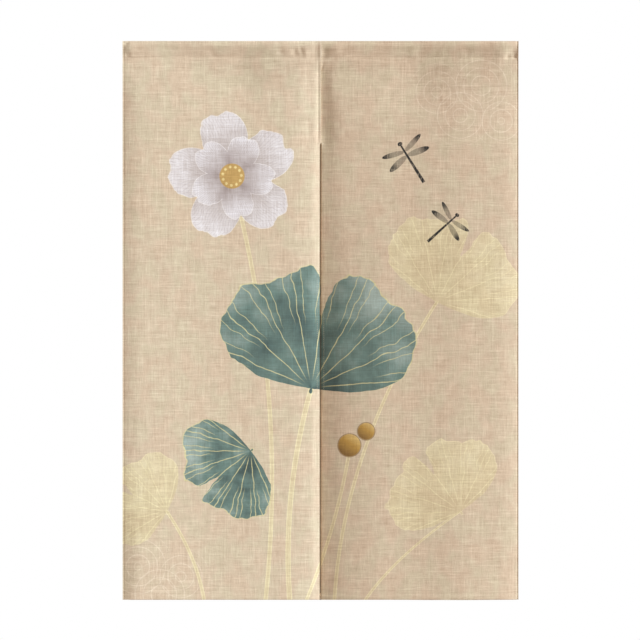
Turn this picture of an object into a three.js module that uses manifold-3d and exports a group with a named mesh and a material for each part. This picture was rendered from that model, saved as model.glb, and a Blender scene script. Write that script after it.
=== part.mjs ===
// A noren: a door curtain of two hemmed cloth panels. The panels are lapped and sewn together for
// the top part and hang free below it, and the top of each is turned to the back and sewn down as
// a rod sleeve. Millimetres. X runs across, +Z is up, the front faces -Y, and the origin is the
// middle of the sleeve's top edge, where the curtain hangs. "Down" is the distance below that.
import * as THREE from 'three';
import { mergeVertices } from 'three/addons/utils/BufferGeometryUtils.js';
import Module from 'manifold-3d';

const { clamp, lerp, smoothstep, degToRad } = THREE.MathUtils;

const width = 850;           // across both panels as they hang
const drop = 1200;           // top edge to bottom edge
const cloth = 1.4;           // one layer
const layerGap = 0.4;        // between layers that lie on each other
const middle = cloth + layerGap / 2;         // from the cloth's face to the middle of the sleeve
const hem = { side: 10, bottom: 13, step: 1.5 };
const sleeve = { height: 35, depth: 15, lean: 0.12, arcParts: 9 };
const turnedEnd = 44;        // how far down the turned-over top reaches at the back
const sleeveStitch = { from: 37, to: 42, bite: 0.5, endGap: 2 };
const slitFrom = 217;        // the panels are sewn together down to here

// What each panel's edge does beside the middle line, from the top down: where it lies in X, how
// far the left panel stands forward and the right one back where they lap, and how closely the
// right one keeps to the left one's depth.
const seamRows = [
  { down: 46, left: -0.2, right: 0.2, lift: 0, held: 1 },
  { down: 54, left: -0.2, right: 0.2, lift: 1.9, held: 1 },
  { down: 66, left: 2.5, right: -5.5, lift: 1.9, held: 1 },
  { down: slitFrom, left: 2.5, right: -5.5, lift: 1.9, held: 1 },
  { down: 230, left: -1.6, right: 0.6, lift: 1.9, held: 1 },
  { down: 275, left: -1.6, right: 0.6, lift: 0, held: 0.8 },
  { down: 470, left: -1.6, right: 0.6, lift: 0, held: 0 },
  { down: drop, left: -1.6, right: 0.6, lift: 0, held: 0 },
];
const liftReach = { full: 10, none: 30 };    // distances from the middle over which the lift ends
const heldReach = { full: 6, none: 425 };    // and over which the right panel's pull ends

// Soft folds. Past its foot the cloth turns back by the angle, towards the slit or the outer edge,
// or forward where the angle is below 0. The foot is a distance from the middle line. It is part
// of that at the sleeve, the whole from where the fold opens, and has drifted by that much at the
// bottom. A fold starts at the distance down in one column and is full at that in the next.
const foldStart = 0.4;       // the part of the distance to a fold's foot at the sleeve
const folds = {
  left_panel: [
    { toward: 'slit', foot: 16, angle: 8, round: 2.5, opens: 90, drift: 2, from: 180, full: 270 },
    { toward: 'slit', foot: 46, angle: 3.3, round: 8, opens: 60, drift: -5, from: 44, full: 80 },
    { toward: 'slit', foot: 230, angle: -1.8, round: 30, opens: 60, drift: 20, from: 44, full: 110 },
    { toward: 'slit', foot: 396, angle: 1.8, round: 14, opens: 45, drift: 0, from: 44, full: 110 },
    { toward: 'edge', foot: 397, angle: 7.5, round: 6, opens: 45, drift: 3, from: 44, full: 120 },
  ],
  right_panel: [
    { toward: 'slit', foot: 43, angle: 5.2, round: 6, opens: 150, drift: 0, from: 44, full: 80 },
    { toward: 'slit', foot: 39, angle: 3.3, round: 4, opens: 150, drift: 0, from: 44, full: 80 },
    { toward: 'slit', foot: 39, angle: -3.3, round: 4, opens: 150, drift: 0, from: 160, full: 250 },
    { toward: 'slit', foot: 78, angle: 2.5, round: 12, opens: 200, drift: 0, from: 80, full: 300 },
    { toward: 'slit', foot: 116, angle: 3.2, round: 8, opens: 240, drift: 4, from: 100, full: 340 },
    { toward: 'slit', foot: 196, angle: -2.7, round: 24, opens: 60, drift: 0, from: 44, full: 110 },
    { toward: 'slit', foot: 302, angle: 3.5, round: 14, opens: 60, drift: -6, from: 44, full: 110 },
    { toward: 'edge', foot: 398, angle: 5, round: 6, opens: 45, drift: -4, from: 44, full: 150 },
  ],
};

// Bands of rows down a panel, from the end of the turned-over top to the bottom.
const rowBands = [
  { to: 46, rows: 1 },
  { to: 54, rows: 1 },
  { to: 66, rows: 1 },
  { to: slitFrom, rows: 6 },
  { to: 230, rows: 1 },
  { to: 275, rows: 1 },
  { to: 470, rows: 3 },
  { to: drop - hem.bottom - hem.step, rows: 9 },
  { to: drop - hem.bottom, rows: 1 },
  { to: drop, rows: 1 },
];
const stations = { parts: 26, crowding: 0.8 };   // across a panel, closest beside its edges

const panels = [
  { name: 'left_panel', outer: -width / 2, color: 0xdccaae },
  { name: 'right_panel', outer: width / 2, color: 0xd6c2a2 },
];

const wasm = await Module();
wasm.setup();

function toManifold(geometry) {
  const bare = geometry.clone();
  bare.deleteAttribute('normal');
  bare.deleteAttribute('uv');
  const merged = mergeVertices(bare, 1e-4);
  return new wasm.Manifold(new wasm.Mesh({
    numProp: 3,
    vertProperties: new Float32Array(merged.getAttribute('position').array),
    triVerts: new Uint32Array(merged.getIndex().array),
  }));
}

function fromManifold(solid) {
  const mesh = solid.getMesh();
  const geometry = new THREE.BufferGeometry();
  geometry.setAttribute('position', new THREE.BufferAttribute(mesh.vertProperties, 3));
  geometry.setIndex(new THREE.BufferAttribute(mesh.triVerts, 1));
  geometry.computeVertexNormals();
  return geometry;
}

// The line that the cloth's face follows, in (Y, Z): up the front, round the outside of the
// sleeve, and down the back to the end of the turned-over top.
function clothPath() {
  const hung = [{ y: 0, z: -turnedEnd }];
  let from = turnedEnd;
  for (const band of rowBands) {
    for (let i = 1; i <= band.rows; i += 1) {
      hung.push({ y: 0, z: -lerp(from, band.to, i / band.rows) });
    }
    from = band.to;
  }
  const front = [];
  for (let i = 0; i <= sleeve.arcParts; i += 1) {
    const angle = Math.PI * (i / sleeve.arcParts - 0.5);
    const round = (sleeve.depth / 2) * Math.cos(angle) * (1 + sleeve.lean * Math.sin(angle));
    const half = angle < 0 ? Math.max(middle, round) : round;
    front.push({ y: middle - half, z: (sleeve.height / 2) * (Math.sin(angle) - 1) });
  }
  const back = front.slice(0, -1).map(({ y, z }) => ({ y: 2 * middle - y, z }));
  return [...hung.toReversed(), ...front, ...back.toReversed(), { y: 2 * middle, z: -turnedEnd }];
}

// The direction out of the cloth's face at each point of that line.
function outwardAt(path, i) {
  const before = path[Math.max(i - 1, 0)];
  const after = path[Math.min(i + 1, path.length - 1)];
  const length = Math.hypot(after.y - before.y, after.z - before.z);
  return { y: -(after.z - before.z) / length, z: (after.y - before.y) / length };
}

// Stations across a panel, as shares of its width.
function sharesAcross() {
  const span = width / 2;
  const ends = [0, hem.side / span];
  const first = (hem.side + hem.step) / span;
  const body = [];
  for (let i = 0; i <= stations.parts; i += 1) {
    const turn = (2 * Math.PI * i) / stations.parts;
    const eased = (turn - stations.crowding * Math.sin(turn)) / (2 * Math.PI);
    body.push(lerp(first, 1 - first, eased));
  }
  return [...ends, ...body, ...ends.toReversed().map((share) => 1 - share)];
}

function seamAt(down) {
  const next = seamRows.findIndex((row) => row.down >= down);
  if (next === 0) return seamRows[0];
  const above = seamRows[next - 1];
  const below = seamRows[next];
  const mix = (column) => {
    const share = (down - above.down) / (below.down - above.down);
    return lerp(above[column], below[column], share);
  };
  return { left: mix('left'), right: mix('right'), lift: mix('lift'), held: mix('held') };
}

function foldDepth(name, across, down) {
  let depth = 0;
  for (const fold of folds[name]) {
    const opened = clamp((down - turnedEnd) / (fold.opens - turnedEnd), 0, 1);
    const foot = fold.foot * lerp(foldStart, 1, opened) + (fold.drift * down) / drop;
    const past = fold.toward === 'slit' ? foot - across : across - foot;
    const run = fold.round * Math.log1p(Math.exp(past / fold.round));
    depth += run * Math.tan(degToRad(fold.angle)) * smoothstep(down, fold.from, fold.full);
  }
  return depth;
}

// How far back the cloth's face lies below the sleeve. Where the panels lap, the right one lies
// along the line of the left one, carried on past the middle.
function depthAt(name, across, down) {
  const seam = seamAt(down);
  const lift = seam.lift * (1 - smoothstep(across, liftReach.full, liftReach.none));
  const own = foldDepth(name, across, down);
  if (name === 'left_panel') return own - lift;
  const lapped = Math.min(across, heldReach.full);
  const pull = foldDepth('left_panel', -lapped, down) - foldDepth(name, lapped, down);
  const near = 1 - smoothstep(across, heldReach.full, heldReach.none);
  return own + pull * seam.held * near + lift;
}

// 2 in a hem, 1 in the open cloth.
function layersAt(fromEdge, down) {
  const side = 1 - smoothstep(fromEdge, hem.side, hem.side + hem.step);
  const bottom = smoothstep(down, drop - hem.bottom - hem.step, drop - hem.bottom);
  return 1 + Math.max(side, bottom);
}

// The cloth as a box with rows and stations, bent along its path and into its folds.
function panelCloth(panel) {
  const path = clothPath();
  const shares = sharesAcross();
  const lastRow = path.length - 1;
  const lastShare = shares.length - 1;
  const geometry = new THREE.BoxGeometry(1, 1, 1, lastShare, lastRow, 1);
  const position = geometry.getAttribute('position');
  for (let i = 0; i < position.count; i += 1) {
    const row = Math.round((position.getY(i) + 0.5) * lastRow);
    const share = shares[Math.round((position.getX(i) + 0.5) * lastShare)];
    const inside = position.getZ(i) < 0;
    const { y, z } = path[row];
    const outward = outwardAt(path, row);
    const seam = seamAt(-z);
    const inner = panel.outer < 0 ? seam.left : seam.right;
    const x = lerp(Math.min(panel.outer, inner), Math.max(panel.outer, inner), share);
    const hangs = y === 0 && -z > turnedEnd;
    const fromEdge = Math.min(Math.abs(x - panel.outer), Math.abs(x - inner));
    const thickness = inside ? cloth * (hangs ? layersAt(fromEdge, -z) : 1) : 0;
    const depth = hangs ? depthAt(panel.name, x * Math.sign(panel.outer), -z) : 0;
    position.setXYZ(i, x, y + depth - outward.y * thickness, z - outward.z * thickness);
  }
  return geometry;
}

// The line of sewing that joins the turned-over top to the cloth in front of it.
function stitchLine(panel) {
  const length = width / 2 - seamRows[0].right - 2 * sleeveStitch.endGap;
  const height = sleeveStitch.to - sleeveStitch.from;
  const geometry = new THREE.BoxGeometry(length, layerGap + 2 * sleeveStitch.bite, height);
  const down = (sleeveStitch.from + sleeveStitch.to) / 2;
  return geometry.translate(panel.outer / 2, middle, -down);
}

function panelGeometry(panel) {
  return fromManifold(toManifold(panelCloth(panel)).add(toManifold(stitchLine(panel))));
}

const curtain = new THREE.Group();
curtain.position.y = -middle;
for (const panel of panels) {
  const material = new THREE.MeshStandardMaterial({
    color: panel.color,
    roughness: 0.9,
    metalness: 0,
  });
  const mesh = new THREE.Mesh(panelGeometry(panel), material);
  mesh.name = panel.name;
  curtain.add(mesh);
}

export default curtain;
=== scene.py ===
import math

import bmesh
import bpy
from mathutils import Matrix, Vector, noise
from mathutils.bvhtree import BVHTree


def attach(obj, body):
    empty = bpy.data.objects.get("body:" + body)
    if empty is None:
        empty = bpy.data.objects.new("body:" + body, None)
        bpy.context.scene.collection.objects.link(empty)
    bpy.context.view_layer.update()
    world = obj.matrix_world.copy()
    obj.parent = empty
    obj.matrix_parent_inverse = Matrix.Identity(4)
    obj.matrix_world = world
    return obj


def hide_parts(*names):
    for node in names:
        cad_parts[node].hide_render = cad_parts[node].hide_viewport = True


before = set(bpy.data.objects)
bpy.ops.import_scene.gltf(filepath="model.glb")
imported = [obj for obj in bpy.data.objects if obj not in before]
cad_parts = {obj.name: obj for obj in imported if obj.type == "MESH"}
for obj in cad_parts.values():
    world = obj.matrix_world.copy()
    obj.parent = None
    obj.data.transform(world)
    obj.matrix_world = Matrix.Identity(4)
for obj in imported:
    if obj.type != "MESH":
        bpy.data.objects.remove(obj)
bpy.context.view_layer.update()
mm = 0.001  # every size below is in millimetres

# the curtain as it hangs: x runs across, "down" is below the top edge, y is to the back
curtain = {
    "halfWidth": 425.0,
    "drop": 1200.0,
    "frontY": -1.6,          # the cloth's face below the sleeve
    "sleeveSeam": 35.0,
    "turnedEnd": 44.0,       # where the turned-over top ends at the back
    "sewnTo": 217.0,         # the panels are sewn together down to here
    "seamOpens": 5.0,        # and part over this height below it
    "rowStep": 8.0,
    "bodyColumns": 94,
    "crowding": 0.45,        # how much closer together the columns lie beside the hems
    "thickness": 0.5,
}

# the panels' edges beside the middle, from the top down: where each lies, how far they part in depth,
# how closely the right one keeps to the left one's depth, and how far its edge has turned back
seamRows = [
    {"down": 46, "left": 1.1, "right": 1.25, "lift": 0, "held": 1, "roll": 0},
    {"down": 54, "left": 1.0, "right": -1.0, "lift": 1.0, "held": 1, "roll": 0},
    {"down": 62, "left": 0.9, "right": -5.5, "lift": 1.0, "held": 1, "roll": 0},
    {"down": 217, "left": 1.1, "right": -5.5, "lift": 1.0, "held": 1, "roll": 0},
    {"down": 222, "left": -1.8, "right": -3.4, "lift": 0.8, "held": 1, "roll": 0.7},
    {"down": 275, "left": -2.05, "right": -3.8, "lift": 0.4, "held": 0.8, "roll": 1},
    {"down": 470, "left": -2.15, "right": -4.0, "lift": 0, "held": 0, "roll": 1},
    {"down": 1200, "left": -2.2, "right": -4.1, "lift": 0, "held": 0, "roll": 1},
]
seamReach = {"lift": (10, 30), "held": (6, 425), "lapEnds": (215, 245)}

# the right panel's edge in the slit turns back behind the left one's, and its hem's inside stands off
roll = {
    "flat": 3.4,            # in from the edge, the cloth is turned back whole up to here
    "wide": 5.8,            # and not at all from here
    "back": 7.6,
    "open": 2.0,            # how far the hem's inside stands off
    "opens": (0.4, 3.0),    # over these lengths of the hem's inside, past the edge
    "closes": (6.5, 8.5),
}

# soft folds: past its foot, towards the slit or the outer edge, the cloth turns back by the angle.
# A fold opens out of the sleeve, drifts on its way down, and grows to its full angle
foldColumns = ("toward", "foot", "angle", "round", "opens", "drift", "starts", "full")
folds = {
    "left": [
        ("slit", 16, 8, 2.5, 90, 2, 180, 270),
        ("slit", 46, 3.3, 8, 60, -5, 30, 75),
        ("slit", 230, -1.8, 30, 60, 20, 30, 110),
        ("slit", 396, 1.8, 14, 45, 0, 30, 110),
        ("slit", 38, 4.4, 4, 60, 0, 30, 70),
        ("slit", 38, -4.4, 4, 60, 0, 100, 420),
        ("edge", 397, 5.2, 6, 45, 3, 44, 120),
        ("edge", 397, 4.6, 6, 45, 3, 980, 1100),
    ],
    "right": [
        ("slit", 43, 5.2, 6, 150, 0, 30, 75),
        ("slit", 39, 3.3, 4, 150, 0, 30, 75),
        ("slit", 39, -3.3, 4, 150, 0, 160, 250),
        ("slit", 78, 2.5, 12, 200, 0, 80, 700),
        ("slit", 116, 3.2, 8, 240, 4, 100, 700),
        ("slit", 196, -2.7, 24, 60, 0, 30, 110),
        ("slit", 302, 3.5, 14, 60, -6, 30, 110),
        ("edge", 398, 5, 6, 45, -4, 44, 150),
    ],
}
foldStart = {"left": 0.4, "right": 0.2}  # the part of the distance to a fold's foot at the sleeve

# the cloth's turn at a side hem, from its end inside round the edge: distance along the cloth from
# the fold, in from the edge, to the back, and the share of the dip at the stitches and beside the fold
sideHem = [
    (-10.5, 10.5, 0.62, 0.1, 0),
    (-8.5, 8.5, 0.62, 0.5, 0),
    (-6.0, 6.0, 0.72, 1.0, 0.2),
    (-3.0, 3.0, 0.80, 0.3, 1.0),
    (-1.2, 1.0, 0.82, -0.3, -0.2),
    (-0.4, 0.25, 0.70, -0.45, -0.4),
    (0.0, 0.0, 0.42, -0.5, -0.4),
    (0.3, 0.02, 0.12, -0.5, -0.4),
    (0.42, 0.10, 0.0, -0.5, -0.4),
    (0.56, 0.22, -0.05, -0.45, -0.35),
    (1.3, 0.9, -0.06, -0.3, 0.3),
    (2.6, 2.2, -0.06, 0.1, 1.0),
    (3.9, 3.7, -0.05, 0.5, 0.7),
    (5.0, 5.0, -0.05, 0.95, 0.2),
    (6.0, 6.0, -0.03, 1.0, 0),
    (7.4, 7.4, 0, 0.75, 0),
    (9.0, 9.0, 0, 0.35, 0),
    (11.5, 11.5, 0, 0.1, 0),
    (15.0, 15.0, 0, 0, 0),
]

# how deep the two dips are, at the outer edges and in the slit, and at the centre seam's stitches
hemDips = {
    "left": {"outer": (0.05, 0.42), "inner": (0.0, 0.0)},
    "right": {"outer": (0.1, 0.6), "inner": (0.05, 0.0)},
}
lapDip = {"deep": 0.55, "starts": (40, 60), "ends": (212, 222)}

# the turn at the bottom hem in the same way: along the cloth, up from the edge, and to the back
bottomHem = [
    (-14.5, 14.5, 2.55),
    (-12.5, 12.5, 2.35),
    (-8.0, 8.0, 2.75),
    (-3.0, 3.0, 2.6),
    (-1.2, 0.8, 2.1),
    (0.0, 0.0, 1.2),
    (1.2, 0.7, 0.35),
    (3.0, 3.0, -0.25),
    (8.0, 8.0, -0.35),
    (11.0, 11.0, 0.0),
    (12.5, 12.5, 0.22),
    (14.0, 14.0, 0.10),
    (18.0, 18.0, 0.0),
]


def softStep(value, low, high):
    share = min(max((value - low) / (high - low), 0.0), 1.0)
    return share * share * (3 - 2 * share)


def blend(a, b, share):
    return a + (b - a) * share


def seamAt(down):
    low = next(i for i, row in enumerate(seamRows) if row["down"] >= min(down, curtain["drop"]))
    if low == 0:
        return seamRows[0]
    above, below = seamRows[low - 1], seamRows[low]
    share = (min(down, curtain["drop"]) - above["down"]) / (below["down"] - above["down"])
    return {key: blend(above[key], below[key], share) for key in above}


def foldDepth(side, across, down):
    depth = 0.0
    for row in folds[side]:
        fold = dict(zip(foldColumns, row))
        opened = (down - curtain["turnedEnd"]) / (fold["opens"] - curtain["turnedEnd"])
        opened = min(max(opened, 0.0), 1.0)
        foot = fold["foot"] * blend(foldStart[side], 1, opened) + fold["drift"] * down / curtain["drop"]
        past = foot - across if fold["toward"] == "slit" else across - foot
        run = fold["round"] * math.log1p(math.exp(past / fold["round"]))
        grown = softStep(down, fold["starts"], fold["full"])
        depth += run * math.tan(math.radians(fold["angle"])) * grown
    return depth


def hangDepth(side, across, down):  # how far back the cloth lies below the sleeve
    seam = seamAt(down)
    lift = seam["lift"] * (1 - softStep(across, *seamReach["lift"]))
    own = foldDepth(side, across, down)
    if side == "left":
        return own - lift
    near = seamReach["held"][0]
    lapped = blend(min(across, near), near, softStep(down, *seamReach["lapEnds"]))
    pull = foldDepth("left", -lapped, down) - foldDepth("right", lapped, down)
    pulled = pull * seam["held"] * (1 - softStep(across, *seamReach["held"]))
    turned = 1 - softStep(across - seam["right"], roll["flat"], roll["wide"])
    return own + pulled + lift + turned * roll["back"] * seam["roll"]


# the outside of the rod sleeve: how far below its top, and how far out from its middle plane
sleeveRows = [
    (0, 0),
    (0.2, 1.5),
    (0.7, 2.9),
    (1.4, 4.1),
    (2.4, 5.2),
    (3.6, 6.1),
    (5.2, 6.8),
    (7, 7.25),
    (9, 7.5),
    (11, 7.5),
    (13, 7.3),
    (16.5, 6.5),
    (20, 5.6),
    (24, 4.6),
    (28, 3.6),
    (31.5, 2.7),
    (33.8, 2.05),
    (35, 1.5),
]
sleeveBack = {"seamY": 0.5, "closes": 34, "endOff": 0.2}  # the turned-over cloth, from its seam down

# just below the sleeve's seam: how far down, and how far to the back, at the front and at the back
underSeam = [(41.0, 0.0, 0.0), (38.0, 0.05, -0.1)]
lastFront = (36.2, 0.08)


def clothRows():  # from the hem up, over the top and down the back: length along the cloth, y and z
    drop, frontY, backY = curtain["drop"], curtain["frontY"], sleeveBack["seamY"]
    rows = [(along - drop, frontY + back, up - drop) for along, up, back in bottomHem]
    seamEnd = curtain["sewnTo"] + curtain["seamOpens"]
    marks = (drop - bottomHem[-1][1], seamEnd, curtain["sewnTo"], curtain["turnedEnd"])
    for low, high in zip(marks, marks[1:]):
        count = math.ceil((low - high) / curtain["rowStep"])
        for i in range(1, count + 1):
            z = -blend(low, high, i / count)
            rows.append((z, frontY, z))
    for down, back in [row[:2] for row in underSeam] + [lastFront]:
        rows.append((-down, frontY + back, -down))
    front = [(-half, -down) for down, half in reversed(sleeveRows)]
    back = []
    for down, half in sleeveRows[1:]:
        back.append((max(half, backY) if down < sleeveBack["closes"] else backY, -down))
    back += [(backY + off, -down) for down, _, off in reversed(underSeam)]
    back.append((backY + sleeveBack["endOff"], -curtain["turnedEnd"]))
    along, before = -curtain["sleeveSeam"], front[0]
    for y, z in front + back:
        along += math.hypot(y - before[0], z - before[1])
        rows.append((along, y, z))
        before = (y, z)
    return rows


def clothColumns():  # the hem it belongs to, past and in from the edge (or a share), to the back, dips
    count, crowding = curtain["bodyColumns"], curtain["crowding"]
    body = []
    for i in range(1, count):
        turn = 2 * math.pi * i / count
        body.append(("body", 0.0, (turn - crowding * math.sin(turn)) / (2 * math.pi), 0.0, 0.0, 0.0))
    left = [("left",) + column for column in sideHem]
    right = [("right",) + column for column in reversed(sideHem)]
    return left + body + right


# creases and dents: middle, half sizes, slant in degrees, and how far they sink (or rise, below 0)
creases = [
    {"x": -86, "down": 25, "wide": 7, "tall": 7, "slant": 5, "sinks": 1.3},
    {"x": -55, "down": 24, "wide": 6, "tall": 8, "slant": -20, "sinks": 1.6},
    {"x": -42, "down": 20, "wide": 4, "tall": 7, "slant": -25, "sinks": 1.1},
    {"x": -31, "down": 26, "wide": 7, "tall": 12, "slant": 0, "sinks": -0.9},
    {"x": -12, "down": 60, "wide": 2.4, "tall": 110, "slant": 0, "sinks": 0.3},
    {"x": -10, "down": 24, "wide": 6, "tall": 20, "slant": 0, "sinks": 0.9},
    {"x": -5, "down": 24, "wide": 2.6, "tall": 22, "slant": 0, "sinks": 0.35},
    {"x": -4.6, "down": 150, "wide": 2.2, "tall": 90, "slant": 0, "sinks": 0.25, "only": "left"},
    {"x": 1.6, "down": 130, "wide": 3.6, "tall": 90, "slant": 0, "sinks": 0.75, "only": "right"},
    {"x": 7.5, "down": 26, "wide": 11, "tall": 14, "slant": 3, "sinks": 3.3, "only": "right"},
    {"x": 36, "down": 20, "wide": 9, "tall": 13, "slant": 8, "sinks": -0.8},
    {"x": -425, "down": 24, "wide": 10, "tall": 20, "slant": 0, "sinks": 1.9},
    {"x": -345, "down": 14, "wide": 60, "tall": 14, "slant": 0, "sinks": 2.6},
    {"x": -417, "down": 6, "wide": 5, "tall": 5, "slant": 30, "sinks": 1.0},
    {"x": -414, "down": 31, "wide": 5, "tall": 5, "slant": -30, "sinks": 1.3},
    {"x": -272, "down": 42, "wide": 95, "tall": 48, "slant": 0, "sinks": 4.2},
    {"x": -165, "down": 50, "wide": 40, "tall": 90, "slant": 0, "sinks": 1.6},
    {"x": -190, "down": 50, "wide": 90, "tall": 90, "slant": 0, "sinks": 1.6},
    {"x": 411, "down": 27, "wide": 8, "tall": 20, "slant": 42, "sinks": 1.4},
    {"x": 390, "down": 26, "wide": 20, "tall": 20, "slant": 20, "sinks": -1.6},
    {"x": 204, "down": 60, "wide": 62, "tall": 75, "slant": 0, "sinks": 2.4},
    {"x": 140, "down": 15, "wide": 150, "tall": 35, "slant": 0, "sinks": 2.6},
    {"x": 199, "down": 24, "wide": 8, "tall": 13, "slant": 0, "sinks": -1.0},
    {"x": 402, "down": 34, "wide": 5, "tall": 4, "slant": 0, "sinks": 1.0},
    {"x": 417, "down": 34, "wide": 5, "tall": 6, "slant": 30, "sinks": 1.9},
    {"x": -234, "down": 29, "wide": 10, "tall": 6, "slant": 30, "sinks": 0.8},
    {"x": 212, "down": 27, "wide": 16, "tall": 7, "slant": 0, "sinks": 0.7},
    {"x": 316, "down": 24, "wide": 9, "tall": 9, "slant": -15, "sinks": 0.7},
]


def creaseDepth(side, x, down):
    depth = 0.0
    for crease in creases:
        if crease.get("only", side) != side:
            continue
        turn = math.radians(crease["slant"])
        offX, offZ = x - crease["x"], crease["down"] - down
        along = offX * math.sin(turn) + offZ * math.cos(turn)
        across = offX * math.cos(turn) - offZ * math.sin(turn)
        away = (across / crease["wide"]) ** 2 + (along / crease["tall"]) ** 2
        depth += crease["sinks"] * math.exp(-away)
    return depth


# the cloth's slight unevenness: each one's size across, how much longer it is, its depth and its seed
uneven = {
    "broad": {"size": 150.0, "longer": 2.6, "deep": 0.9, "seed": 3.7},
    "fine": {"size": 34.0, "longer": 1.8, "deep": 0.16, "seed": 8.1},
    "pucker": {"size": 9.0, "longer": 1.0, "deep": 0.22, "seed": 5.3},
}
unevenReach = {
    "freeFrom": (40, 140),   # down from the top, the broad ripples start
    "besideEdge": (8, 22),   # the puckers end, in from an edge
    "besideSeam": (3, 14),   # and up and down from the sleeve's seam
    "sleeveBack": (8, 33),   # down from the top, the sleeve's back starts to move with its front
}


def unevenAt(name, x, down):
    kind = uneven[name]
    spot = Vector((x / kind["size"], down / (kind["longer"] * kind["size"]), kind["seed"]))
    return kind["deep"] * noise.noise(spot)


def sunkAt(side, x, down, fromEdge):  # how far the cloth sinks there, by ripples, puckers and creases
    nearEdge = 1 - softStep(fromEdge, *unevenReach["besideEdge"])
    nearSeam = 1 - softStep(abs(down - curtain["sleeveSeam"]), *unevenReach["besideSeam"])
    free = softStep(down, *unevenReach["freeFrom"])
    ripple = unevenAt("broad", x, down) * free + unevenAt("fine", x, down)
    return ripple + unevenAt("pucker", x, down) * max(nearEdge, nearSeam) + creaseDepth(side, x, down)


def dipAt(side, kind, dips, down):  # how far the stitches draw the cloth in beside them
    strengths = hemDips[side]["outer" if kind == side else "inner"]
    dip = sum(share * strength for share, strength in zip(dips, strengths))
    if kind not in (side, "body"):
        sewn = softStep(down, *lapDip["starts"]) * (1 - softStep(down, *lapDip["ends"]))
        dip += dips[0] * lapDip["deep"] * sewn
    return dip


def acrossPanel(kind, hemAlong, place, leftEdge, rightEdge):  # a column's x, and where it is laid flat
    if kind == "left":
        return leftEdge + place, leftEdge + hemAlong
    if kind == "right":
        return rightEdge - place, rightEdge - hemAlong
    inset = sideHem[-1][1]
    x = blend(leftEdge + inset, rightEdge - inset, place)
    return x, x


def outwardAt(rows, row):  # the way that the cloth's outside faces, in y and z
    before, after = rows[max(row - 1, 0)], rows[min(row + 1, len(rows) - 1)]
    stepY, stepZ = after[1] - before[1], after[2] - before[2]
    size = math.hypot(stepY, stepZ)
    return -stepZ / size, stepY / size


sagging = 0.045  # how much lower the cloth hangs for each millimetre that it lies back
overTheTop = -1.0  # from this length on, the cloth is the sleeve's back and moves with its front


def clothPanel(side):
    rows, columns = clothRows(), clothColumns()
    lastRow, lastColumn = len(rows) - 1, len(columns) - 1
    sign = -1 if side == "left" else 1
    outer = curtain["halfWidth"] * sign
    bm = bmesh.new()
    bmesh.ops.create_grid(bm, x_segments=lastColumn, y_segments=lastRow, size=0.5, calc_uvs=False)
    uvLayer = bm.loops.layers.uv.new("cloth")
    lengths = {}
    for vert in bm.verts:  # the grid's own place gives the row and the column
        row = round((vert.co.y + 0.5) * lastRow)
        along, y, z = rows[row]
        kind, hemAlong, place, hemBack, *dips = columns[round((vert.co.x + 0.5) * lastColumn)]
        down = max(-z, 0.0)
        seam = seamAt(down)
        inner = seam[side]
        x, u = acrossPanel(kind, hemAlong, place, min(outer, inner), max(outer, inner))
        depth = hangDepth(side, x * sign, down)
        sunk = sunkAt(side, x, down, min(abs(x - outer), abs(x - inner)))
        if along > overTheTop:
            sunk = -sunk * softStep(down, *unevenReach["sleeveBack"])
        pressed = hemBack + dipAt(side, kind, dips, down) + sunk
        if side == "right" and kind == "left":
            standsOff = softStep(-hemAlong, *roll["opens"]) * (1 - softStep(-hemAlong, *roll["closes"]))
            pressed += roll["open"] * seam["roll"] * standsOff
        sag = sagging * depth * down / curtain["drop"]
        outY, outZ = outwardAt(rows, row)
        vert.co = Vector((x, y + depth - outY * pressed, z - sag - outZ * pressed)) * mm
        lengths[vert] = (u * mm, along * mm)
    for face in bm.faces:
        face.smooth = True
        for loop in face.loops:
            loop[uvLayer].uv = lengths[loop.vert]
    bmesh.ops.recalc_face_normals(bm, faces=bm.faces)
    centre = Vector((outer / 2, 0, -curtain["drop"] / 2)) * mm
    middle = min(bm.faces, key=lambda face: (face.calc_center_median() - centre).length)
    if middle.normal.y > 0:
        bmesh.ops.reverse_faces(bm, faces=bm.faces)
    return bm


def makeObject(name, bm, materials):
    mesh = bpy.data.meshes.new(name)
    bm.to_mesh(mesh)
    for material in materials:
        mesh.materials.append(material)
    made = bpy.data.objects.new(name, mesh)
    bpy.context.scene.collection.objects.link(made)
    return made


# a stitch's pitch and its thread's half sizes, how deep it sits, and how much it turns by chance
stitch = {"pitch": 4.2, "long": 1.55, "thick": 0.24, "sunk": 0.06, "turn": 0.22, "grain": (0.31, 0.37)}

# the rows of stitches: how far each lies in from an edge or down, and where it starts and stops
stitchRows = {
    "side": {"in": 6.0, "top": 50.0},
    "slit": {"in": 7.0, "top": 232.0},
    "bottom": {"up": 12.5, "clear": 9.0},
    "sleeve": {"clear": 3.0},
    "lap": {"in": 4.0, "low": 215.0, "top": 48.0},
}


def stitchPlaces(side):  # the middle of each stitch, and whether its row is a level one
    sign = 1 if side == "left" else -1
    outer = curtain["halfWidth"] * -sign
    low = -curtain["drop"] + stitchRows["bottom"]["up"]
    seam = -curtain["sleeveSeam"]
    sideX, slitX = outer + sign * stitchRows["side"]["in"], -sign * stitchRows["slit"]["in"]
    bottomIn, sleeveIn = sign * stitchRows["bottom"]["clear"], sign * stitchRows["sleeve"]["clear"]
    rows = [
        ((sideX, low), (sideX, -stitchRows["side"]["top"])),
        ((outer + bottomIn, low), (-bottomIn, low)),
        ((outer + sleeveIn, seam), (-sleeveIn, seam)),
        ((slitX, low), (slitX, -stitchRows["slit"]["top"])),
    ]
    if side == "left":
        lap = stitchRows["lap"]
        rows.append(((-lap["in"], -lap["low"]), (-lap["in"], -lap["top"])))
    for start, end in rows:
        count = round(math.dist(start, end) / stitch["pitch"])
        for i in range(count):
            share = (i + 0.5) / count
            yield blend(start[0], end[0], share), blend(start[1], end[1], share), start[0] != end[0]


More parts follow.
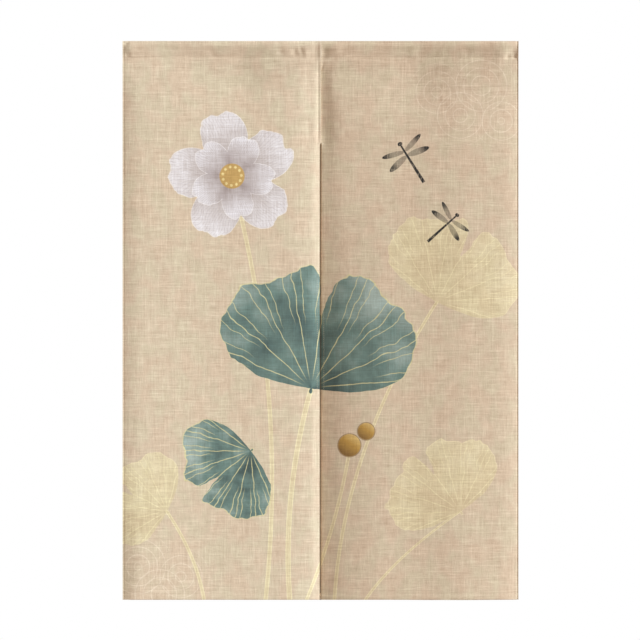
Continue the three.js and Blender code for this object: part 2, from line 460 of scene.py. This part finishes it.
def stitches(side, cloth, material):  # one thread on each face of the cloth, at every place
    tree = BVHTree.FromObject(cloth, bpy.context.evaluated_depsgraph_get())
    farOut = 200  # well clear of the cloth, before it and behind it
    one = bmesh.new()
    bmesh.ops.create_uvsphere(one, u_segments=6, v_segments=4, radius=mm)
    for face in one.faces:
        face.smooth = True
    single = bpy.data.meshes.new("stitch")
    one.to_mesh(single)
    one.free()
    shape = Matrix.Diagonal((stitch["thick"], stitch["thick"], stitch["long"], 1))
    bm = bmesh.new()
    for x, z, level in stitchPlaces(side):
        for towards in (1, -1):
            origin = Vector((x, -farOut * towards, z)) * mm
            hit, normal = tree.ray_cast(origin, Vector((0, towards, 0)))[:2]
            if hit is None:
                continue
            byChance = noise.noise(Vector((x * stitch["grain"][0], z * stitch["grain"][1], towards)))
            turned = Matrix.Rotation(byChance * stitch["turn"] + (math.pi / 2 if level else 0), 4, "Y")
            placed = single.copy()
            placed.transform(Matrix.Translation(hit - normal * stitch["sunk"] * mm) @ turned @ shape)
            bm.from_mesh(placed)
            bpy.data.meshes.remove(placed)
    bpy.data.meshes.remove(single)
    made = makeObject(side + "Stitches", bm, [material])
    bm.free()
    return made


class Value:  # one output of a shader node, which sums are written with
    def __init__(self, tree, out):
        self.tree, self.out = tree, out

    def node(self, kind, settings, inputs, output=0):
        made = self.tree.nodes.new("ShaderNode" + kind)
        for name, setting in settings.items():
            if name == "stops":
                ramp = made.color_ramp
                while len(ramp.elements) < len(setting):
                    ramp.elements.new(0.5)
                for element, (place, colour) in zip(ramp.elements, setting):
                    element.position, element.color = place, colour
            elif name == "interpolation" and kind == "ValToRGB":
                made.color_ramp.interpolation = setting
            else:
                setattr(made, name, setting)
        for name, value in inputs.items():
            socket = made.inputs[name]
            if isinstance(value, Value):
                self.tree.links.new(value.out, socket)
            else:
                socket.default_value = value
        return Value(self.tree, made.outputs[output])

    def math(self, operation, *others):
        return self.node("Math", {"operation": operation}, dict(enumerate((self,) + others)))

    def __add__(self, other):
        return self.math("ADD", other)

    __radd__ = __add__

    def __sub__(self, other):
        return self.math("SUBTRACT", other)

    def __rsub__(self, other):
        return self.node("Math", {"operation": "SUBTRACT"}, {0: other, 1: self})

    def __mul__(self, other):
        return self.math("MULTIPLY", other)

    __rmul__ = __mul__

    def __truediv__(self, other):
        return self.math("DIVIDE", other)

    def over(self, low, high, first=0.0, last=1.0):  # 0 below low, 1 above high, soft between
        limits = {"From Min": low, "From Max": high, "To Min": first, "To Max": last}
        return self.node("MapRange", {"interpolation_type": "SMOOTHSTEP"}, {"Value": self, **limits})

    def under(self, low, high):  # 1 below low, 0 above high
        return self.over(low, high, 1.0, 0.0)

    def ramp(self, *stops, interpolation="LINEAR"):  # a colour for each value, as place and colour
        return self.node("ValToRGB", {"interpolation": interpolation, "stops": stops}, {0: self})

    def tint(self, colour, share):  # this colour with another laid over it
        return self.node("Mix", {"data_type": "RGBA"}, {0: share, 6: self, 7: colour}, 2)

    def times(self, other):  # a colour or vector by another
        return self.node("VectorMath", {"operation": "MULTIPLY"}, {0: self, 1: other})


def noiseAt(place, across, upward, detail, seed):  # noise with features of that size, in millimetres
    stretched = place.times((1 / across, 1 / upward, 1.0))
    shift = (seed * 7.3, seed * 3.1, seed)  # another part of the noise for each seed
    moved = stretched.node("VectorMath", {"operation": "ADD"}, {0: stretched, 1: shift})
    sockets = {"Vector": moved, "Scale": 1.0, "Detail": detail}
    return moved.node("TexNoise", {"noise_dimensions": "2D"}, sockets)


clothLook = {
    "tones": {"left": (1.01, 0.992, 0.98), "right": (0.948, 0.903, 0.877)},
    "pinkish": (0.706, 0.564, 0.418, 1),
    "plain": (0.690, 0.570, 0.422, 1),
    "greenish": (0.668, 0.570, 0.414, 1),
    "patchesFrom": (0.36, 0.5, 0.64),       # where the patches' noise is pinkish, plain and greenish
    "warmth": {"red": 0.84, "blue": 1.12},  # dark threads are warmer
    "backPrint": 0.35,                      # how much of the print shows through to the back
    "roughness": 0.88,
    "sheen": 0.15,
}

# the weave's parts as noise: features' size across and up the cloth, detail and seed
weaveNoise = {
    "patches": (44, 56, 2, 1),
    "mottle": (16, 22, 2, 2),
    "slubUp": (3.4, 70, 3, 3),
    "slubOver": (60, 3.2, 3, 4),
    "yarnUp": (1.0, 14, 1, 5),
    "yarnOver": (12, 1.0, 1, 6),
}
rightSeed = 40

# how much each part of the weave lightens or darkens the cloth, and which noise is a slub
weaveShade = {"even": 0.955, "pale": 0.125, "dark": 0.085, "mottle": 0.23, "patches": 0.13, "yarn": 0.21}
slub = {"pale": (0.52, 0.74), "paleUp": 0.8, "dark": (0.28, 0.46), "darkUp": 0.7}
relief = {"slubs": 0.25, "distance": 0.0005, "strength": 0.3}

# bands of painted shade below the sleeve, darkening the cloth's colour where shade falls under it: where
# each fades in and out to the right, and in upwards
paintedShadeDepth = 0.085
paintedShadeBands = [
    {"fadesIn": (206, 216), "fadesOut": (380, 405), "up": (-150, -40), "share": 1.0},
    {"fadesIn": (15, 40), "fadesOut": (206, 216), "up": (-46, -38), "share": 0.75},
]

# painted shade: the right panel's turned-back edge along the slit is darkened in its colour, standing in
# for the shade in the crevice behind the left panel's edge
paintedCreviceShade = {
    "colour": (0.098, 0.079, 0.066, 1),
    "share": 0.62,
    "fadesIn": (-6, -4.5),
    "fadesOut": (0.6, 1.8),
    "below": (-222, -214),
}


def ink(red, green, blue):  # a dye's colour from its screen values
    return tuple(((part / 255 + 0.055) / 1.055) ** 2.4 for part in (red, green, blue)) + (1,)


def local(place, motif):  # the motif's own plane: y along it, its size is 1
    size = motif["size"]
    return place.node("Mapping", {"vector_type": "TEXTURE"}, {
        "Vector": place, "Location": (motif["at"][0], motif["at"][1], 0),
        "Rotation": (0, 0, math.radians(motif["turn"])), "Scale": (size, size, size)})


def parts(spot):
    split = spot.node("SeparateXYZ", {}, {0: spot})
    return split, Value(spot.tree, split.out.node.outputs[1])


def polar(spot):  # distance and bearing, 0 along the motif
    x, y = parts(spot)
    return spot.node("VectorMath", {"operation": "LENGTH"}, {0: spot}, 1), x.math("ARCTAN2", y)


# a fan leaf's rim: how far it reaches at each bearing, 0.5 along the leaf, 0.25 and 0.75 square to it
fanRim = [
    (0.245, 0.05),
    (0.262, 0.40),
    (0.285, 0.70),
    (0.325, 0.90),
    (0.375, 0.985),
    (0.425, 0.93),
    (0.462, 0.985),
    (0.486, 0.93),
    (0.498, 0.58),
    (0.512, 0.90),
    (0.54, 1.0),
    (0.585, 0.94),
    (0.635, 0.975),
    (0.675, 0.88),
    (0.712, 0.72),
    (0.738, 0.40),
    (0.755, 0.05),
]
leafForm = {
    "waver": {"size": 0.22, "turns": 0.10, "frays": 0.16},
    "wash": {"size": 0.3, "clouds": 0.9, "outwards": 0.35, "less": 0.2, "bands": 2.5, "banding": 0.10},
    "tones": (0.15, 0.45, 0.85),
    "edgeSoft": 2.2,
    "ribs": {"fine": 0.5, "from": (0.05, 0.2)},
    "forks": {"fine": 0.3, "wide": 0.9, "from": (0.5, 0.7)},
    "border": {"fine": 0.6, "wide": 1.15, "least": 0.45},
}
tealLeaf = {
    "dark": ink(56, 82, 82),
    "mid": ink(100, 128, 122),
    "light": ink(164, 182, 176),
    "gold": ink(218, 212, 162),
    "cover": 0.97,
    "line": 1.3,
    "lineCover": 0.8,
    "rib": 0.165,
}
paleLeaf = {
    "dark": ink(217, 201, 160),
    "mid": ink(226, 213, 170),
    "light": ink(236, 226, 188),
    "gold": ink(243, 232, 190),
    "cover": 0.66,
    "line": 1.4,
    "lineCover": 0.6,
    "rib": 0.17,
}


def fanLeaf(place, colour, leaf):
    size, line = leaf["size"], leaf["line"]
    wavers, washed = leafForm["waver"], leafForm["wash"]
    ribForm, forkForm, borderForm = leafForm["ribs"], leafForm["forks"], leafForm["border"]
    waver = noiseAt(place, size * wavers["size"], size * wavers["size"], 2, size) - 0.5
    far, bearing = polar(local(place, leaf))
    bearing = bearing + waver * wavers["turns"]
    stops = [(spot, (reach, reach, reach, 1)) for spot, reach in fanRim]
    rim = (bearing / (2 * math.pi) + 0.5).ramp(*stops, interpolation="CARDINAL")
    edge = (rim * (1.0 + waver * wavers["frays"]) - far) * size
    inside = edge.over(0, leafForm["edgeSoft"])
    wash = noiseAt(place, size * washed["size"], size * washed["size"], 3, size + 2) * washed["clouds"]
    wash = wash + far * washed["outwards"] - washed["less"]
    wash = wash + (bearing * washed["bands"]).math("SINE") * washed["banding"]
    tone = wash.ramp(*zip(leafForm["tones"], (leaf["dark"], leaf["mid"], leaf["light"])))
    colour = colour.tint(tone, inside * leaf["cover"])
    ribs = bearing.math("PINGPONG", leaf["rib"]) * far * size
    forks = (bearing + leaf["rib"] / 2).math("PINGPONG", leaf["rib"] / 2) * far * size
    ribLine = ribs.under(ribForm["fine"], line) * far.over(*ribForm["from"])
    forkLine = forks.under(forkForm["fine"], line * forkForm["wide"]) * far.over(*forkForm["from"])
    border = edge.math("ABSOLUTE").under(borderForm["fine"], line * borderForm["wide"])
    border = border * (wash + borderForm["least"])
    lines = (ribLine.math("MAXIMUM", forkLine) * inside).math("MAXIMUM", border)
    return colour.tint(leaf["gold"], lines * leaf["lineCover"])


petalForm = {
    "waver": {"size": 40, "turns": 0.12, "frays": 0.14},
    "round": {"power": 2.4, "much": 0.42},
    "notch": {"half": (0.0, 0.16), "deep": 0.07},
    "edgeSoft": 2.0,
    "lightOut": {"from": (0.25, 0.95), "share": 0.75},
    "lightMiddle": {"from": (0.3, 1.0), "share": 0.25},
    "tones": (0.0, 0.55, 1.0),
    "veins": {"waver": 0.2, "apart": 0.028, "line": (0.2, 1.1), "from": (0.3, 0.6), "share": 0.35},
    "rim": {"line": (0.5, 1.9), "share": 0.75},
}
whiteBlossom = {
    "layers": [
        {"petals": 5, "turn": 0.0, "reach": 1.0},
        {"petals": 5, "turn": 0.63, "reach": 0.66},
    ],
    "cover": 0.93,
    "shadow": ink(166, 152, 150),
    "mid": ink(208, 200, 200),
    "white": ink(232, 228, 232),
    "vein": ink(182, 174, 182),
    "line": ink(240, 236, 238),
    "heart": {"size": 0.20, "colour": ink(196, 160, 96)},
    "seeds": {"count": 11, "out": 0.72, "size": (0.014, 0.028), "colour": ink(236, 214, 150)},
}


def petals(colour, flower, layer, far, bearing, waver):
    rounded, notch, veins, rimLine = (petalForm[part] for part in ("round", "notch", "veins", "rim"))
    outer, middle = petalForm["lightOut"], petalForm["lightMiddle"]
    half = math.pi / layer["petals"]
    turned = (bearing + layer["turn"] + waver * petalForm["waver"]["turns"]).math("PINGPONG", half)
    rim = 1.0 - (turned / half).math("POWER", rounded["power"]) * rounded["much"]
    rim = (rim - turned.under(*notch["half"]) * notch["deep"]) * layer["reach"]
    edge = (rim * (1.0 + waver * petalForm["waver"]["frays"]) - far) * flower["size"]
    outwards = far / layer["reach"]
    shade = outwards.over(*outer["from"]) * outer["share"]
    shade = shade + (turned / half).under(*middle["from"]) * middle["share"]
    tone = shade.ramp(*zip(petalForm["tones"], (flower["shadow"], flower["mid"], flower["white"])))
    streak = (bearing + waver * veins["waver"]).math("PINGPONG", veins["apart"]) * far * flower["size"]
    veined = streak.under(*veins["line"]) * outwards.over(*veins["from"])
    tone = tone.tint(flower["vein"], veined * veins["share"])
    colour = colour.tint(tone, edge.over(0, petalForm["edgeSoft"]) * flower["cover"])
    return colour.tint(flower["line"], edge.math("ABSOLUTE").under(*rimLine["line"]) * rimLine["share"])


def blossom(place, colour, flower):
    heart, seeds = flower["heart"], flower["seeds"]
    waver = noiseAt(place, petalForm["waver"]["size"], petalForm["waver"]["size"], 2, 9) - 0.5
    far, bearing = polar(local(place, flower))
    for layer in flower["layers"]:
        colour = petals(colour, flower, layer, far, bearing, waver)
    inHeart = ((heart["size"] - far) * flower["size"]).over(0, petalForm["edgeSoft"])
    colour = colour.tint(heart["colour"], inHeart)
    sideways = bearing.math("PINGPONG", math.pi / seeds["count"]) * far
    outwards = far - heart["size"] * seeds["out"]
    fromSeed = (sideways.math("POWER", 2) + outwards.math("POWER", 2)).math("SQRT")
    return colour.tint(seeds["colour"], fromSeed.under(*seeds["size"]))


# a small dragonfly of length 1, seen from above: its body tapers to its tail, its wings are long ovals
darkInsect = {
    "ink": ink(34, 32, 30),
    "body": {"half": 0.030, "tapers": 0.018, "soft": (-0.004, 0.008)},
    "tail": (-0.52, -0.50),
    "neck": (0.44, 0.50),
    "head": {"half": 0.055, "tall": 0.045, "at": 0.50, "soft": (0.85, 1.15)},
    "wings": [
        {"root": 0.30, "slope": 0.28, "wide": 0.062},
        {"root": 0.20, "slope": -0.20, "wide": 0.075},
    ],
    "blade": {"half": 0.27, "soft": (0.80, 1.0), "darkens": (0.25, 0.48), "least": 0.5},
    "brush": {"across": 3, "upward": 9, "thins": (0.25, 0.5), "least": 0.68},
}


def dragonfly(place, colour, insect):
    body, head, blade, brush = (insect[part] for part in ("body", "head", "blade", "brush"))
    x, y = parts(local(place, insect))
    side = x.math("ABSOLUTE")
    marks = (body["half"] - y * body["tapers"] - side).over(*body["soft"])
    marks = marks * y.over(*insect["tail"]) * y.under(*insect["neck"])
    upHead = (y - head["at"]) / head["tall"]
    inHead = (side / head["half"]).math("POWER", 2) + upHead.math("POWER", 2)
    marks = marks.math("MAXIMUM", inHead.under(*head["soft"]))
    for wing in insect["wings"]:
        slope, rise = wing["slope"], y - wing["root"]
        along = side * math.cos(slope) + rise * math.sin(slope)
        off = rise * math.cos(slope) - side * math.sin(slope)
        fromMiddle = (along - blade["half"]) / blade["half"]
        oval = fromMiddle.math("POWER", 2) + (off / wing["wide"]).math("POWER", 2)
        darker = along.over(*blade["darkens"], blade["least"], 1.0)
        marks = marks.math("MAXIMUM", oval.under(*blade["soft"]) * darker)
    brushed = noiseAt(place, brush["across"], brush["upward"], 2, 12)
    return colour.tint(insect["ink"], marks * brushed.over(*brush["thins"], brush["least"], 1.0))


leafStem = {
    "colour": ink(228, 214, 172),
    "rim": ink(243, 233, 192),
    "cover": 0.7,
    "wide": 6.0,
    "soft": (0.0, 1.2),
    "rimLine": (0.4, 1.3),
    "ends": 0.005,  # how far its ends fade, as a share of its height
}


def stem(place, colour, stalk):
    u, v = parts(place)
    (footX, footZ), (topX, topZ) = stalk["foot"], stalk["top"]
    share = (v - footZ) / (topZ - footZ)
    bow = share * (1.0 - share) * (4.0 * stalk["bow"])  # the whole bow is reached half way up
    off = (u - (share * (topX - footX) + bow + footX)).math("ABSOLUTE") - stalk["wide"] / 2
    along = share.over(-stalk["ends"], 0.0) * share.under(1.0, 1.0 + stalk["ends"]) * stalk["cover"]
    colour = colour.tint(stalk["colour"], off.under(*stalk["soft"]) * along)
    return colour.tint(stalk["rim"], off.math("ABSOLUTE").under(*stalk["rimLine"]) * along)


goldFruit = {
    "turn": 0,
    "dark": ink(140, 106, 52),
    "mid": ink(190, 150, 72),
    "light": ink(222, 190, 120),
    "tones": (0.1, 0.6, 1.0),
    "lit": {"right": 0.3, "up": 0.45, "even": 0.5},
    "edgeSoft": 1.8,
    "rim": {"line": (0.4, 1.5), "share": 0.7},
}


def fruit(place, colour, ball):
    spot = local(place, ball)
    far = polar(spot)[0]
    x, y = parts(spot)
    lit = x * ball["lit"]["right"] + y * ball["lit"]["up"] + ball["lit"]["even"]
    tone = lit.ramp(*zip(ball["tones"], (ball["dark"], ball["mid"], ball["light"])))
    edge = (1.0 - far) * ball["size"]
    colour = colour.tint(tone, edge.over(0, ball["edgeSoft"]))
    rim = edge.math("ABSOLUTE").under(*ball["rim"]["line"]) * ball["rim"]["share"]
    return colour.tint(ball["dark"], rim)


faintRings = {
    "turn": 0,
    "colour": ink(236, 220, 198),
    "under": ink(222, 200, 176),
    "cover": 0.62,
    "underCover": 0.10,
    "gap": 17,
    "line": (0.35, 1.5),
    "starts": (0.08, 0.12),
    "ends": (0.99, 1.0),
}


def ripples(place, colour, pool):
    far = polar(local(place, pool))[0]
    inside = far.under(*pool["ends"])
    fromRim = (1.0 - far) * pool["size"]
    line = fromRim.math("PINGPONG", pool["gap"] / 2).under(*pool["line"]) * far.over(*pool["starts"])
    colour = colour.tint(pool["under"], inside * pool["underCover"])
    return colour.tint(pool["colour"], line * inside * pool["cover"])


# the print from the bottom layer up; "at", "foot" and "top" are across and up from the top's middle
printed = [
    (ripples, {**faintRings, "at": (-392, -1128), "size": 76}),
    (ripples, {**faintRings, "at": (-300, -1150), "size": 62}),
    (ripples, {**faintRings, "at": (-345, -1188), "size": 70}),
    (ripples, {**faintRings, "at": (250, -110), "size": 62}),
    (ripples, {**faintRings, "at": (345, -96), "size": 72}),
    (ripples, {**faintRings, "at": (300, -160), "size": 66}),
    (ripples, {**faintRings, "at": (388, -172), "size": 58}),
    (stem, {**leafStem, "foot": (30, -1200), "top": (250, -560), "bow": -46}),
    (stem, {**leafStem, "foot": (96, -1200), "top": (300, -1010), "bow": -18}),
    (stem, {**leafStem, "foot": (-250, -1200), "top": (-330, -1010), "bow": 12}),
    (fanLeaf, {**paleLeaf, "at": (250, -560), "turn": -28, "size": 186}),
    (fanLeaf, {**paleLeaf, "at": (300, -1010), "turn": 34, "size": 160}),
    (fanLeaf, {**paleLeaf, "at": (-330, -1010), "turn": 62, "size": 132}),
    (stem, {**leafStem, "foot": (-118, -1200), "top": (-190, -300), "bow": 42, "wide": 7.5}),
    (stem, {**leafStem, "foot": (-66, -1200), "top": (-20, -745), "bow": -20, "wide": 9.5}),
    (stem, {**leafStem, "foot": (-30, -1200), "top": (62, -880), "bow": 10}),
    (fanLeaf, {**tealLeaf, "at": (-150, -880), "turn": 128, "size": 150}),
    (fanLeaf, {**tealLeaf, "at": (-20, -745), "turn": -9, "size": 262}),
    (fruit, {**goldFruit, "at": (62, -868), "size": 25}),
    (fruit, {**goldFruit, "at": (98, -838), "size": 19}),
    (blossom, {**whiteBlossom, "at": (-190, -290), "turn": 12, "size": 140}),
    (dragonfly, {**darkInsect, "at": (196, -262), "turn": 32, "size": 96}),
    (dragonfly, {**darkInsect, "at": (262, -402), "turn": -48, "size": 84}),
]
spare = {"stem": 5, "motif": 1.1, "lap": 6}  # how far past its size a motif, and a panel, may reach


def reachesPanel(motif, side):
    if "foot" in motif:
        foot, top = motif["foot"][0], motif["top"][0]
        bend = motif["bow"] + (foot + top) / 2
        low, high = min(foot, top, bend) - spare["stem"], max(foot, top, bend) + spare["stem"]
    else:
        half = motif["size"] * spare["motif"]
        low, high = motif["at"][0] - half, motif["at"][0] + half
    return low < spare["lap"] if side == "left" else high > -spare["lap"]


def between(value, fadesIn, fadesOut):
    return value.over(*fadesIn) * value.under(*fadesOut)


def clothMaterial(name, side, strength):
    material = bpy.data.materials.new(name)
    material.use_nodes = True
    tree = material.node_tree
    shader = tree.nodes["Principled BSDF"]
    place = Value(tree, None).node("UVMap", {"uv_map": "cloth"}, {})
    place = place.node("VectorMath", {"operation": "SCALE"}, {0: place, "Scale": 1000.0})
    firstSeed = 0 if side == "left" else rightSeed
    weave = {}
    for part, (wide, tall, detail, seed) in weaveNoise.items():
        weave[part] = noiseAt(place, wide, tall, detail, seed + firstSeed)
    pale = weave["slubUp"].over(*slub["pale"]) * slub["paleUp"] + weave["slubOver"].over(*slub["pale"])
    dark = weave["slubUp"].under(*slub["dark"]) * slub["darkUp"] + weave["slubOver"].under(*slub["dark"])
    yarn = (weave["yarnUp"] - 0.5) + (weave["yarnOver"] - 0.5)
    shade = weaveShade["even"] + pale * weaveShade["pale"] - dark * weaveShade["dark"]
    shade = shade + (weave["mottle"] - 0.5) * weaveShade["mottle"]
    shade = shade + (weave["patches"] - 0.5) * weaveShade["patches"] + yarn * weaveShade["yarn"]
    across, up = parts(place)
    # painted shade: the cloth is darkened in these bands below the sleeve
    for band in paintedShadeBands:
        shadedBelowSleeve = between(across, band["fadesIn"], band["fadesOut"]) * up.over(*band["up"])
        shade = shade - shadedBelowSleeve * (band["share"] * paintedShadeDepth)
    tints = (clothLook["pinkish"], clothLook["plain"], clothLook["greenish"])
    plain = weave["patches"].ramp(*zip(clothLook["patchesFrom"], tints))
    colour = plain
    for draw, motif in printed:
        if reachesPanel(motif, side):
            colour = draw(place, colour, motif)
    colour = plain.tint(colour, strength)
    off = shade - 1.0
    red, blue = off * clothLook["warmth"]["red"] + 1.0, off * clothLook["warmth"]["blue"] + 1.0
    colour = colour.times(off.node("CombineXYZ", {}, {0: red, 1: shade, 2: blue}))
    colour = colour.times(clothLook["tones"][side])
    # painted shade along the slit, on the right panel's turned-back edge
    if side == "right":
        besideSlit = between(across, paintedCreviceShade["fadesIn"], paintedCreviceShade["fadesOut"])
        creviceShaded = besideSlit * up.under(*paintedCreviceShade["below"])
        colour = colour.tint(paintedCreviceShade["colour"], creviceShaded * paintedCreviceShade["share"])
    tree.links.new(colour.out, shader.inputs["Base Color"])
    shader.inputs["Roughness"].default_value = clothLook["roughness"]
    shader.inputs["Sheen Weight"].default_value = clothLook["sheen"]
    height = (pale - dark) * relief["slubs"] + yarn
    bump = {"Height": height, "Distance": relief["distance"], "Strength": relief["strength"]}
    tree.links.new(height.node("Bump", {}, bump).out, shader.inputs["Normal"])
    return material


threadLook = {"colour": (0.66, 0.53, 0.38, 1), "roughness": 0.7}


def plainMaterial(name, look):
    material = bpy.data.materials.new(name)
    material.use_nodes = True
    shader = material.node_tree.nodes["Principled BSDF"]
    shader.inputs["Base Color"].default_value = look["colour"]
    shader.inputs["Roughness"].default_value = look["roughness"]
    return material


thread = plainMaterial("thread", threadLook)
for side in ("left", "right"):
    print("scene: weaving and printing the", side, "panel")
    bm = clothPanel(side)
    face = clothMaterial(side + "ClothFace", side, 1.0)
    reverse = clothMaterial(side + "ClothBack", side, clothLook["backPrint"])
    panel = makeObject(side + "Cloth", bm, [face, reverse])
    bm.free()
    thick = panel.modifiers.new("thickness", "SOLIDIFY")
    thick.thickness = curtain["thickness"] * mm
    thick.offset = -1
    thick.material_offset = 1
    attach(panel, "root")
    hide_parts(side + "_panel")
    print("scene: sewing the", side, "panel's stitches")
    sewing = stitches(side, panel, thread)
    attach(sewing, "root")

print("scene: lights, floor and camera")
studio = {
    "cameraX": -1.1,         # the camera looks straight at the curtain's front from far away
    "cameraBack": 14000.0,
    "cameraDown": 599.1,
    "frameWide": 1374.0,
    "sensor": 36.0,
    "floorDown": 2400.0,
    "floorWide": 2800.0,
    "ambient": 0.46,
    "ambientTone": (1.12, 0.985, 0.87, 1),
    "backdrop": (1, 1, 1, 1),
}
floorLook = {"colour": (0.8, 0.8, 0.79, 1), "roughness": 0.7}

cameraData = bpy.data.cameras.new("camera")
cameraData.sensor_width = studio["sensor"]
cameraData.lens = studio["sensor"] * studio["cameraBack"] / studio["frameWide"]
camera = bpy.data.objects.new("camera", cameraData)
camera.location = Vector((studio["cameraX"], -studio["cameraBack"], -studio["cameraDown"])) * mm
camera.rotation_euler = (math.pi / 2, 0, 0)
bpy.context.scene.collection.objects.link(camera)
bpy.context.scene.camera = camera

lamps = {
    "key": {"from": (22280, -6380, 5600), "wide": 4400, "watts": 11000, "tone": (0.9, 1.01, 1.08)},
    "behind": {"from": (-2600, 5200, 900), "wide": 2400, "watts": 260, "tone": (1, 1, 1)},
}
aimedAt = Vector((0, 0, -600))
for name, lamp in lamps.items():
    lampData = bpy.data.lights.new(name, "AREA")
    lampData.energy = lamp["watts"]
    lampData.size = lamp["wide"] * mm
    lampData.color = lamp["tone"]
    placed = bpy.data.objects.new(name, lampData)
    placed.location = Vector(lamp["from"]) * mm
    placed.rotation_euler = (aimedAt - Vector(lamp["from"])).to_track_quat("-Z", "Y").to_euler()
    bpy.context.scene.collection.objects.link(placed)

floorMesh = bmesh.new()
bmesh.ops.create_grid(floorMesh, x_segments=1, y_segments=1, size=studio["floorWide"] / 2 * mm)
bmesh.ops.translate(floorMesh, verts=floorMesh.verts, vec=(0, 0, -studio["floorDown"] * mm))
floor = makeObject("floor", floorMesh, [plainMaterial("floor", floorLook)])
floorMesh.free()

world = bpy.data.worlds.new("studio")
world.use_nodes = True
bpy.context.scene.world = world
sky = world.node_tree
ambient = sky.nodes["Background"]
ambient.inputs["Color"].default_value = studio["ambientTone"]
ambient.inputs["Strength"].default_value = studio["ambient"]
seen = sky.nodes.new("ShaderNodeBackground")
seen.inputs["Color"].default_value = studio["backdrop"]
seen.inputs["Strength"].default_value = 1.0
ray = sky.nodes.new("ShaderNodeLightPath")
choose = sky.nodes.new("ShaderNodeMixShader")
sky.links.new(ray.outputs["Is Camera Ray"], choose.inputs[0])
sky.links.new(ambient.outputs[0], choose.inputs[1])
sky.links.new(seen.outputs[0], choose.inputs[2])
sky.links.new(choose.outputs[0], sky.nodes["World Output"].inputs["Surface"])
bpy.context.scene.view_settings.view_transform = "Standard"
